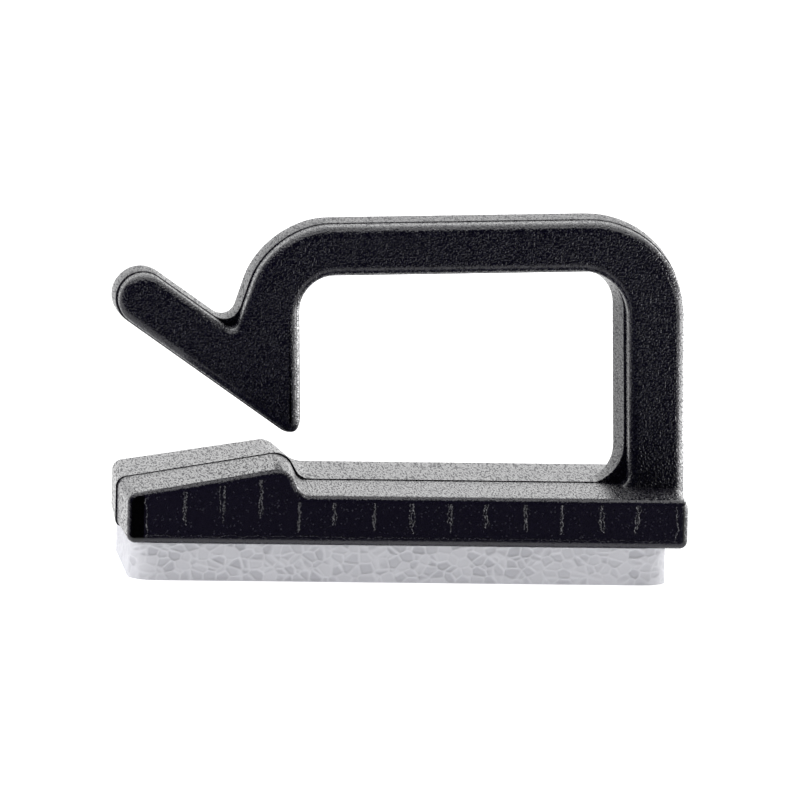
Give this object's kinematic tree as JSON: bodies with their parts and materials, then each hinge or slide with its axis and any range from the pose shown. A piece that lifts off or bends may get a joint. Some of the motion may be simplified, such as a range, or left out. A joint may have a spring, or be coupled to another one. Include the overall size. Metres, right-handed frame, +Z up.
{
  "type": "self_adhesive_cable_hook",
  "caption": "Moulded cable hook with a springy open arm, a lead-in lip and a ramped base on a self-adhesive foam pad; holds cables against a flat surface",
  "frame": {"origin": "middle of the base's length and width, on the foam pad's adhesive face", "axes": "+X along the base from the lead-in end to the column, +Y across the base away from the viewer of the picture, +Z up from the surface the pad sticks to"},
  "size_m": [0.0242, 0.01, 0.0148],
  "materials": {
    "black_plastic": "injection-moulded black plastic with a fine spark-eroded texture, a parting line and machining cusps",
    "grey_foam": "die-cut light grey closed-cell foam with open cells on the cut sides"
  },
  "bodies": {
    "root": {"hook_body": "black_plastic", "foam_pad": "grey_foam"}
  },
  "joints": []
}
